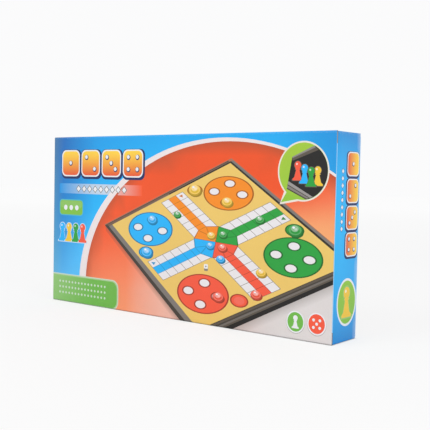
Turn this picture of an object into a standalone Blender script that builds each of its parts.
"""Tuck-end game carton with a folding ludo case packed inside it.

Metres, +Z up. The carton stands on its long bottom panel and its printed front
faces -Y. The origin is the middle of the bottom face.

The carton is one folded blank: a sleeve of four panels round the X axis, and at
each end a lid on the back panel, a tuck flap on the lid, and two dust flaps.
"""
import math

import bmesh
import bpy
from mathutils import Matrix

# Folding case: two trays that shut on each other
CASE_LENGTH = 0.320
CASE_HEIGHT = 0.160
HALF_DEPTH = 0.0163
PARTING = 0.0003
CASE_CORNER = 0.008
CASE_EDGE = 0.0015
CASE_WALL = 0.003
CASE_RIB = 0.0024
PLATE_WALL = 0.0016
FRAME_WIDTH = 0.009
POCKET_CORNER = 0.004
LATCH_WALL = 0.008

# Grooves round the edge of each tray
GROOVE_WIDTH = 0.0022
GROOVE_DEPTH = 0.0006
GROOVE_SLOPE = 0.0005
GROOVE_START = 0.0045
GROOVE_PITCH = 0.0042
GROOVE_COUNT = 2

# Sheets let into the outer face of each tray
SHEET = 0.0005
STEEL = 0.0004
SHEET_CORNER = 0.003

# Case hinges: two groups of knuckles on the lower edge, with a pin through each
KNUCKLE_RADIUS = 0.003
KNUCKLE_LENGTH = 0.008
KNUCKLE_COUNT = 5
HINGE_INSET = 0.060
HINGE_WEB = 0.003
PIN_RADIUS = 0.0012

# Snap latch over the upper edge of the case
LATCH_WIDTH = 0.026
LATCH_REACH = 0.009
LATCH_THICKNESS = 0.0016
LATCH_LEG = 0.0045
LATCH_BARB = 0.0007

# Pawns, their magnets and the die
PAWN_BASE = 0.0060
PAWN_FOOT = 0.0022
PAWN_SHOULDER = 0.0044
PAWN_WAIST = 0.0025
PAWN_COLLAR = 0.0038
PAWN_HEAD = 0.0041
PAWN_HEIGHT = 0.0210
PAWN_PITCH = 0.0160
PAWNS_IN_POCKET = 4
MAGNET_RADIUS = 0.0035
MAGNET_HEIGHT = 0.0020
DIE_SIZE = 0.009
DIE_EDGE = 0.0009

# Carton board and the room that it leaves round the case
BOARD = 0.0012
CREASE = 0.0014
TUCK_ROOM = 0.0049
HEAD_ROOM = 0.0053
END_ROOM = 0.0023
GLUE_FLAP = 0.014
GLUE_FLAP_TAPER = 0.006
GLUE_LINE = 0.0002
PANEL_RELIEF = 0.0006

# Lids, tuck flaps and dust flaps
LID_EDGE_ROOM = 0.0004
LID_ROUND = 0.0009
TUCK_LENGTH = 0.014
TUCK_CORNER = 0.009
TUCK_SHOULDER = 0.010
TUCK_HINGE_ROOM = 0.0009
TUCK_LEAN_DEGREES = 8
SLIT_DEPTH = 0.0008
DUST_LENGTH = 0.028
DUST_LOCK = 0.006
DUST_STEP = 0.0035
DUST_CORNER = 0.004
DUST_SIDE_ROOM = 0.0006
TUCK_PATH = 0.002
DUST_FRONT_TAPER = 0.002
DUST_BACK_TAPER_SHARE = 0.6

# Gap between neighbours, and overrun of cuts and joints
GAP = 0.0003
OVERRUN = 0.001

ARC_STEPS = 4
ROUND_STEPS = 16
PAWN_STEPS = 12

# Sizes worked out from the ones above
case_depth = 2 * HALF_DEPTH + PARTING
recess_depth = SHEET + GAP + STEEL + GAP
plate = recess_depth + PLATE_WALL
carton_length = CASE_LENGTH + 2 * (END_ROOM + BOARD + GAP + BOARD)
carton_depth = BOARD + GAP + case_depth + TUCK_ROOM + BOARD
carton_height = BOARD + GAP + CASE_HEIGHT + HEAD_ROOM + BOARD
half_length = carton_length / 2
half_depth = carton_depth / 2
lid_end = half_length
dust_end = half_length - BOARD - GAP
back_end = half_length - BOARD - GAP
top_end = dust_end - BOARD - GAP
tuck_face = -half_depth + BOARD + GAP
case_back = half_depth - BOARD - GAP
case_front = case_back - case_depth
case_middle = case_back - HALF_DEPTH - PARTING / 2
case_floor = BOARD + GAP
case_top = case_floor + CASE_HEIGHT
hinge_height = case_floor + KNUCKLE_RADIUS
hinge_offset = CASE_LENGTH / 2 - HINGE_INSET
hinge_span = KNUCKLE_COUNT * KNUCKLE_LENGTH + (KNUCKLE_COUNT - 1) * GAP
pocket_floor = case_floor + 2 * KNUCKLE_RADIUS + GAP + CASE_WALL
pocket_top = case_top - LATCH_WALL

COLOURS = {"blue": (0.03, 0.20, 0.72), "yellow": (0.90, 0.48, 0.02),
           "green": (0.02, 0.42, 0.08), "red": (0.75, 0.03, 0.02)}


def clear_scene():
    for item in list(bpy.data.objects):
        bpy.data.objects.remove(item, do_unlink=True)


def material(name, colour, roughness, metallic=0.0):
    made = bpy.data.materials.get(name) or bpy.data.materials.new(name)
    made.use_nodes = True
    shader = made.node_tree.nodes["Principled BSDF"]
    shader.inputs["Base Color"].default_value = (*colour, 1.0)
    shader.inputs["Roughness"].default_value = roughness
    shader.inputs["Metallic"].default_value = metallic
    made.diffuse_color = (*colour, 1.0)
    return made


def place(name, shape, finish, axis_point=(0, 0, 0), parent=None, smooth=False):
    """Make an object of a closed bmesh given in world coordinates.

    Its origin is axis_point, the point on the joint's axis of a moving piece.
    """
    bmesh.ops.recalc_face_normals(shape, faces=shape.faces)
    bmesh.ops.translate(shape, verts=shape.verts, vec=[-value for value in axis_point])
    mesh = bpy.data.meshes.new(name)
    shape.to_mesh(mesh)
    shape.free()
    if smooth:
        mesh.shade_smooth()
        mesh.set_sharp_from_angle(angle=math.radians(35))
    if finish:
        mesh.materials.append(finish)
    item = bpy.data.objects.new(name, mesh)
    item.location = axis_point
    bpy.context.scene.collection.objects.link(item)
    if parent:
        item.parent = parent
        item.location = [own - carried for own, carried in zip(axis_point, parent.location)]
    return item


def filleted(corners, steps=ARC_STEPS):
    """Round the corners of a closed outline, given as (a, b, radius)."""
    outline = []
    for index, (a, b, radius) in enumerate(corners):
        before = corners[index - 1]
        after = corners[(index + 1) % len(corners)]
        if not radius:
            outline.append((a, b))
            continue
        back = (before[0] - a, before[1] - b)
        on = (after[0] - a, after[1] - b)
        back_angle = math.atan2(back[1], back[0])
        on_angle = math.atan2(on[1], on[0])
        turn = (on_angle - back_angle + math.pi) % (2 * math.pi) - math.pi
        half = abs(turn) / 2
        middle = back_angle + turn / 2
        reach = radius / math.sin(half)
        centre = (a + reach * math.cos(middle), b + reach * math.sin(middle))
        sweep = math.copysign(math.pi - abs(turn), -turn)
        first = middle + math.pi - sweep / 2
        for step in range(steps + 1):
            angle = first + sweep * step / steps
            outline.append((centre[0] + radius * math.cos(angle),
                            centre[1] + radius * math.sin(angle)))
    return outline


def rounded_rectangle(left, right, low, high, radius, steps=ARC_STEPS):
    return filleted([(left, low, radius), (right, low, radius),
                     (right, high, radius), (left, high, radius)], steps)


def point_on(axis, along, a, b):
    return {"X": (along, a, b), "Y": (a, along, b), "Z": (a, b, along)}[axis]


def add_loft(shape, axis, sections):
    """Add a closed solid through outlines of one point count, as (along, outline)."""
    rings = [[shape.verts.new(point_on(axis, along, a, b)) for a, b in outline]
             for along, outline in sections]
    for ring, following in zip(rings, rings[1:]):
        for index in range(len(ring)):
            other = (index + 1) % len(ring)
            shape.faces.new((ring[index], ring[other], following[other], following[index]))
    shape.faces.new(list(reversed(rings[0])))
    shape.faces.new(rings[-1])


def prism(axis, outline, low, high, shape=None):
    shape = shape or bmesh.new()
    add_loft(shape, axis, [(low, outline), (high, outline)])
    return shape


def box(left, right, front, back, low, high, shape=None):
    outline = [(left, front), (right, front), (right, back), (left, back)]
    return prism("Z", outline, low, high, shape)


def round_bar(radius, middle_y, middle_z, left, right, steps=ROUND_STEPS, shape=None):
    outline = [(middle_y + radius * math.cos(2 * math.pi * step / steps),
                middle_z + radius * math.sin(2 * math.pi * step / steps))
               for step in range(steps)]
    return prism("X", outline, left, right, shape)


def turned_along_y(profile, centre_x, centre_z, foot_y, steps):
    """Turn (radius, height) points about an axis that runs from foot_y along -Y."""
    shape = bmesh.new()
    rings = []
    for radius, height in profile:
        along = foot_y - height
        if radius == 0:
            rings.append([shape.verts.new((centre_x, along, centre_z))])
            continue
        rings.append([shape.verts.new((centre_x + radius * math.cos(2 * math.pi * step / steps),
                                       along,
                                       centre_z + radius * math.sin(2 * math.pi * step / steps)))
                      for step in range(steps)])
    for ring, following in zip(rings, rings[1:]):
        for step in range(steps):
            other = (step + 1) % steps
            corners = [ring[step % len(ring)], ring[other % len(ring)],
                       following[other % len(following)], following[step % len(following)]]
            shape.faces.new(list(dict.fromkeys(corners)))
    return shape


def boolean(item, name, operation, shape):
    """Cut a shape from an object, or join it, with a live modifier."""
    tool = place(name, shape, None)
    tool.hide_render = True
    tool.display_type = "WIRE"
    step = item.modifiers.new(name, "BOOLEAN")
    step.operation = operation
    step.solver = "EXACT"
    step.object = tool


def sleeve_stations():
    """Outer point, inner point and half length at each step round the sleeve.

    The strip starts at the raw rear edge of the top panel, runs round the front,
    the bottom and the back, and ends as the glue flap under the top panel.
    """
    flap_face = carton_height - BOARD - GLUE_LINE
    corners = [(-half_depth, carton_height, math.pi / 2), (-half_depth, 0, math.pi),
               (half_depth, 0, -math.pi / 2), (half_depth, flap_face, 0)]
    ends = [(top_end, half_length), (half_length, top_end), (top_end, back_end), (back_end, top_end)]
    stations = [((half_depth, carton_height), (half_depth, carton_height - BOARD), top_end)]
    for (corner_y, corner_z, first), (arriving, leaving) in zip(corners, ends):
        side_y = math.copysign(1, corner_y)
        side_z = -1 if corner_z == 0 else 1
        centre_y = corner_y - side_y * CREASE
        centre_z = corner_z - side_z * CREASE
        crease_end = max(arriving, leaving)
        arc = []
        for step in range(ARC_STEPS + 1):
            angle = first + math.pi / 2 * step / ARC_STEPS
            away = (math.cos(angle), math.sin(angle))
            outer = (centre_y + CREASE * away[0], centre_z + CREASE * away[1])
            inner = (centre_y + (CREASE - BOARD) * away[0], centre_z + (CREASE - BOARD) * away[1])
            arc.append((outer, inner, crease_end))
        before = (math.sin(first), -math.cos(first))
        after_angle = first + math.pi / 2
        after = (-math.sin(after_angle), math.cos(after_angle))
        if arriving < crease_end:
            arc.insert(0, shifted(arc[0], before, arriving))
        if leaving < crease_end:
            arc.append(shifted(arc[-1], after, leaving))
        stations += arc
    flap_edge = half_depth - GLUE_FLAP
    stations.append(((flap_edge, flap_face), (flap_edge, flap_face - BOARD), top_end - GLUE_FLAP_TAPER))
    return stations


def shifted(station, direction, length):
    """The same station moved along its panel by the die-cut relief."""
    (outer_y, outer_z), (inner_y, inner_z), _ = station
    step_y = direction[0] * PANEL_RELIEF
    step_z = direction[1] * PANEL_RELIEF
    return (outer_y + step_y, outer_z + step_z), (inner_y + step_y, inner_z + step_z), length


def build_sleeve(finish):
    shape = bmesh.new()
    rows = []
    for (outer_y, outer_z), (inner_y, inner_z), length in sleeve_stations():
        rows.append([shape.verts.new((-length, outer_y, outer_z)),
                     shape.verts.new((length, outer_y, outer_z)),
                     shape.verts.new((length, inner_y, inner_z)),
                     shape.verts.new((-length, inner_y, inner_z))])
    for row, following in zip(rows, rows[1:]):
        for index in range(4):
            other = (index + 1) % 4
            shape.faces.new((row[index], row[other], following[other], following[index]))
    shape.faces.new(list(reversed(rows[0])))
    shape.faces.new(rows[-1])
    place("carton_sleeve", shape, finish)


def build_lid(side_name, side, finish):
    """End panel, hinged on the back panel's vertical crease."""
    outer = side * lid_end
    inner = side * (lid_end - BOARD)
    low = LID_EDGE_ROOM
    high = carton_height - LID_EDGE_ROOM
    outline = filleted([(inner, tuck_face, 0), (outer, tuck_face, LID_ROUND),
                        (outer, half_depth, LID_ROUND), (inner, half_depth, 0)])
    lid = place(f"{side_name}_lid", prism("Z", outline, low, high), finish,
                axis_point=(outer, half_depth, 0))
    slits = bmesh.new()
    for bottom, top in ((low - OVERRUN, TUCK_SHOULDER),
                        (carton_height - TUCK_SHOULDER, high + OVERRUN)):
        box(min(inner, outer) - OVERRUN, max(inner, outer) + OVERRUN,
            tuck_face - OVERRUN, tuck_face + SLIT_DEPTH, bottom, top, slits)
    boolean(lid, f"{side_name}_lid_slits", "DIFFERENCE", slits)
    return lid


def build_tuck(side_name, side, lid, finish):
    """Flap on the lid's free edge that goes in behind the front panel.

    It leans inwards from its crease, which lets its free edge swing out past the
    front panel's end.
    """
    crease = side * (lid_end - BOARD - TUCK_HINGE_ROOM)
    free = side * (lid_end - TUCK_LENGTH)
    low = TUCK_SHOULDER + GAP
    high = carton_height - TUCK_SHOULDER - GAP
    outline = filleted([(crease, low, 0), (free, low, TUCK_CORNER),
                        (free, high, TUCK_CORNER), (crease, high, 0)])
    axis_point = (side * lid_end, tuck_face, 0)
    shape = prism("Y", outline, tuck_face, tuck_face + BOARD)
    bmesh.ops.rotate(shape, verts=shape.verts, cent=axis_point,
                     matrix=Matrix.Rotation(-side * math.radians(TUCK_LEAN_DEGREES), 3, "Z"))
    place(f"{side_name}_tuck", shape, finish, axis_point=axis_point, parent=lid)


def build_dust_flap(side_name, level_name, side, up, finish):
    """Flap on the top or bottom panel, shut behind the lid.

    Its rear side leans away from the lid's hinge, and its front side is stepped
    back below the lock edge, so that the tuck flap can swing past it.
    """
    crease_z = carton_height if up > 0 else 0
    back = half_depth - BOARD - GAP - DUST_SIDE_ROOM
    front = -half_depth + BOARD + GAP + DUST_SIDE_ROOM
    stepped = tuck_face + BOARD + TUCK_PATH
    tip_back = back - DUST_BACK_TAPER_SHARE * DUST_LENGTH
    tip_front = stepped + DUST_FRONT_TAPER
    corners = [(back, 0, 0), (tip_back, DUST_LENGTH, DUST_CORNER),
               (tip_front, DUST_LENGTH, DUST_CORNER), (stepped, DUST_LOCK + DUST_STEP, 0),
               (front, DUST_LOCK, 0), (front, 0, 0)]
    outline = filleted([(y, crease_z - up * down, radius) for y, down, radius in corners])
    outer = side * dust_end
    shape = prism("X", outline, side * (dust_end - BOARD), outer)
    shape.edges.ensure_lookup_table()
    crease_edge = [edge for edge in shape.edges
                   if all(math.isclose(vert.co.x, outer, abs_tol=GAP / 2)
                          and math.isclose(vert.co.z, crease_z, abs_tol=GAP / 2)
                          for vert in edge.verts)]
    bmesh.ops.bevel(shape, geom=crease_edge, offset=LID_ROUND, segments=ARC_STEPS,
                    affect="EDGES", profile=0.5)
    place(f"{side_name}_{level_name}_dust_flap", shape, finish,
          axis_point=(outer, 0, crease_z))


def half_sections(outer_y, inward):
    """Outlines of a tray from its outer face to the parting face."""
    steps = [(CASE_EDGE * (1 - math.sin(turn)), CASE_EDGE * (1 - math.cos(turn)))
             for turn in (math.pi / 2, math.pi / 4, 0)]
    levels = [(deep, inset) for deep, inset in steps]
    for index in range(GROOVE_COUNT):
        start = GROOVE_START + index * GROOVE_PITCH
        levels += [(start, 0), (start + GROOVE_SLOPE, GROOVE_DEPTH),
                   (start + GROOVE_WIDTH - GROOVE_SLOPE, GROOVE_DEPTH), (start + GROOVE_WIDTH, 0)]
    levels.append((HALF_DEPTH, 0))
    return [(outer_y + inward * deep,
             rounded_rectangle(-CASE_LENGTH / 2 + inset, CASE_LENGTH / 2 - inset,
                               case_floor + inset, case_top - inset, CASE_CORNER - inset))
            for deep, inset in levels]


def pocket_bounds():
    """Left, right, low and high of the four pockets, lower row first."""
    middle = (pocket_floor + pocket_top) / 2
    rows = ((pocket_floor, middle - CASE_RIB / 2), (middle + CASE_RIB / 2, pocket_top))
    columns = ((-CASE_LENGTH / 2 + CASE_WALL, -CASE_RIB / 2), (CASE_RIB / 2, CASE_LENGTH / 2 - CASE_WALL))
    return [(left, right, low, high) for low, high in rows for left, right in columns]


def knuckle_places(first):
    """Left and right end of every second knuckle in both hinge groups."""
    places = []
    for group in (-hinge_offset, hinge_offset):
        for index in range(first, KNUCKLE_COUNT, 2):
            left = group - hinge_span / 2 + index * (KNUCKLE_LENGTH + GAP)
            places.append((left, left + KNUCKLE_LENGTH))
    return places


def knuckle_outline(trough_floor, inward):
    """A round knuckle with a flat web back to its own tray."""
    half_angle = math.asin(HINGE_WEB / 2 / KNUCKLE_RADIUS)
    sweep = 2 * (math.pi - half_angle)
    root = trough_floor - inward * OVERRUN
    outline = [(root, hinge_height + HINGE_WEB / 2)]
    for step in range(ROUND_STEPS + 1):
        angle = math.pi - half_angle - sweep * step / ROUND_STEPS
        outline.append((case_middle + inward * KNUCKLE_RADIUS * math.cos(angle),
                        hinge_height + KNUCKLE_RADIUS * math.sin(angle)))
    outline.append((root, hinge_height - HINGE_WEB / 2))
    return outline


def latch_recess(parting_face, inward):
    """Seat of the latch clip in a tray's upper edge, with the slot for its leg."""
    seat = case_top - LATCH_THICKNESS - GAP
    slot = seat - LATCH_LEG
    open_end = parting_face + inward * OVERRUN
    outside = case_middle - inward * (LATCH_REACH + GAP)
    inside = case_middle - inward * (LATCH_REACH - LATCH_THICKNESS - LATCH_BARB - GAP)
    return [(open_end, case_top + OVERRUN), (outside, case_top + OVERRUN), (outside, slot),
            (inside, slot), (inside, seat), (open_end, seat)]


def build_half(name, outer_y, inward, first_knuckle, finish):
    """One tray of the case. inward is +1 or -1, towards the parting plane."""
    shape = bmesh.new()
    add_loft(shape, "Y", half_sections(outer_y, inward))
    half = place(name, shape, finish, smooth=True)
    parting_face = outer_y + inward * HALF_DEPTH

    cuts = bmesh.new()
    for left, right, low, high in pocket_bounds():
        prism("Y", rounded_rectangle(left, right, low, high, POCKET_CORNER),
              outer_y + inward * plate, parting_face + inward * OVERRUN, cuts)
    prism("Y", sheet_outline(0), outer_y - inward * OVERRUN, outer_y + inward * recess_depth, cuts)
    trough_floor = case_middle - inward * (KNUCKLE_RADIUS + GAP)
    for group in (-hinge_offset, hinge_offset):
        ends = (trough_floor, parting_face + inward * OVERRUN)
        box(group - hinge_span / 2 - GAP, group + hinge_span / 2 + GAP, min(ends), max(ends),
            case_floor - OVERRUN, case_floor + 2 * KNUCKLE_RADIUS + GAP, cuts)
    prism("X", latch_recess(parting_face, inward), -LATCH_WIDTH / 2 - GAP, LATCH_WIDTH / 2 + GAP, cuts)
    boolean(half, f"{name}_cuts", "DIFFERENCE", cuts)

    knuckles = bmesh.new()
    for left, right in knuckle_places(first_knuckle):
        prism("X", knuckle_outline(trough_floor, inward), left, right, knuckles)
    boolean(half, f"{name}_knuckles", "UNION", knuckles)

    bores = bmesh.new()
    for group in (-hinge_offset, hinge_offset):
        reach = hinge_span / 2 + GAP / 2
        round_bar(PIN_RADIUS + GAP, case_middle, hinge_height, group - reach, group + reach, shape=bores)
    boolean(half, f"{name}_bores", "DIFFERENCE", bores)


def sheet_outline(gap):
    edge = FRAME_WIDTH + gap
    return rounded_rectangle(-CASE_LENGTH / 2 + edge, CASE_LENGTH / 2 - edge,
                             case_floor + edge, case_top - edge, SHEET_CORNER)


def build_sheets(side_name, outer_y, inward, steel_finish, print_finish):
    """The printed board sheet, and the steel sheet under it that holds the pawns."""
    outline = sheet_outline(GAP)
    inner = outer_y + inward * SHEET
    place(f"{side_name}_board_sheet", prism("Y", outline, outer_y, inner), print_finish)
    near = inner + inward * GAP
    place(f"{side_name}_steel_sheet", prism("Y", outline, near, near + inward * STEEL), steel_finish)


def build_latch(finish):
    """Snap clip over the upper edge, with a barbed leg in each tray."""
    top = case_top
    under = case_top - LATCH_THICKNESS
    foot = under - LATCH_LEG + GAP
    half_leg = (under + foot) / 2
    inside = LATCH_REACH - LATCH_THICKNESS
    right = [(LATCH_REACH, top), (LATCH_REACH, foot), (inside, foot),
             (inside - LATCH_BARB, half_leg), (inside, under)]
    outline = [(case_middle + y, z) for y, z in right]
    outline += [(case_middle - y, z) for y, z in reversed(right)]
    place("case_latch_clip", prism("X", outline, -LATCH_WIDTH / 2, LATCH_WIDTH / 2), finish)


def build_hinge_pins(finish):
    for side_name, group in (("left", -hinge_offset), ("right", hinge_offset)):
        pin = round_bar(PIN_RADIUS, case_middle, hinge_height,
                        group - hinge_span / 2, group + hinge_span / 2)
        place(f"{side_name}_hinge_pin", pin, finish, smooth=True)


def pawn_profile():
    """Radius and height from the magnet's recess, over the foot and up to the crown."""
    recess = MAGNET_HEIGHT + GAP
    neck = PAWN_HEIGHT - 2 * PAWN_HEAD
    profile = [(0, recess), (MAGNET_RADIUS + GAP, recess), (MAGNET_RADIUS + GAP, 0),
               (PAWN_BASE, 0), (PAWN_BASE, PAWN_FOOT), (PAWN_SHOULDER, PAWN_FOOT + PAWN_FOOT / 2),
               (PAWN_WAIST, neck - PAWN_FOOT / 2), (PAWN_COLLAR, neck), (PAWN_WAIST, neck + PAWN_FOOT / 2)]
    middle = PAWN_HEIGHT - PAWN_HEAD
    for degrees in (-25, 5, 35, 62):
        turn = math.radians(degrees)
        profile.append((PAWN_HEAD * math.cos(turn), middle + PAWN_HEAD * math.sin(turn)))
    profile.append((0, PAWN_HEIGHT))
    return profile


def build_pawns(magnet_finish):
    """Four pawns of each colour, held by their magnets on the rear tray's floor."""
    floor_y = case_back - plate - GAP
    magnet = [(0, 0), (MAGNET_RADIUS, 0), (MAGNET_RADIUS, MAGNET_HEIGHT), (0, MAGNET_HEIGHT)]
    for (colour, value), (left, right, low, high) in zip(COLOURS.items(), pocket_bounds()):
        finish = material(f"{colour}_plastic", value, 0.35)
        middle = (left + right) / 2
        height = low + PAWN_BASE + GAP
        for index in range(PAWNS_IN_POCKET):
            across = middle + (index - (PAWNS_IN_POCKET - 1) / 2) * PAWN_PITCH
            place(f"{colour}_pawn_{index + 1}",
                  turned_along_y(pawn_profile(), across, height, floor_y, PAWN_STEPS), finish, smooth=True)
            place(f"{colour}_pawn_magnet_{index + 1}",
                  turned_along_y(magnet, across, height, floor_y, PAWN_STEPS), magnet_finish, smooth=True)


def build_die(finish):
    """The die lies on the floor of the lower right pocket, at its outer wall."""
    left, right, low, high = pocket_bounds()[1]
    end = right - POCKET_CORNER - GAP
    base = low + GAP
    shape = box(end - DIE_SIZE, end, case_middle - DIE_SIZE / 2, case_middle + DIE_SIZE / 2,
                base, base + DIE_SIZE)
    bmesh.ops.bevel(shape, geom=shape.edges[:], offset=DIE_EDGE, segments=2, affect="EDGES", profile=0.5)
    place("die", shape, finish, smooth=True)


def build():
    clear_scene()
    print_board = material("printed_board", (0.05, 0.33, 0.72), 0.3)
    build_sleeve(print_board)
    for side_name, side in (("right", 1), ("left", -1)):
        lid = build_lid(side_name, side, print_board)
        build_tuck(side_name, side, lid, print_board)
        build_dust_flap(side_name, "upper", side, 1, print_board)
        build_dust_flap(side_name, "lower", side, -1, print_board)

    tray_plastic = material("tray_plastic", (0.035, 0.032, 0.03), 0.45)
    steel = material("sheet_steel", (0.55, 0.56, 0.58), 0.35, 1.0)
    board_print = material("board_print", (0.80, 0.55, 0.16), 0.4)
    build_half("front_tray", case_front, 1, 0, tray_plastic)
    build_half("rear_tray", case_back, -1, 1, tray_plastic)
    build_sheets("front", case_front, 1, steel, board_print)
    build_sheets("rear", case_back, -1, steel, board_print)
    build_hinge_pins(steel)
    build_latch(tray_plastic)
    build_pawns(material("magnet", (0.30, 0.30, 0.31), 0.4, 1.0))
    build_die(material("die_plastic", (0.85, 0.84, 0.80), 0.3))


build()
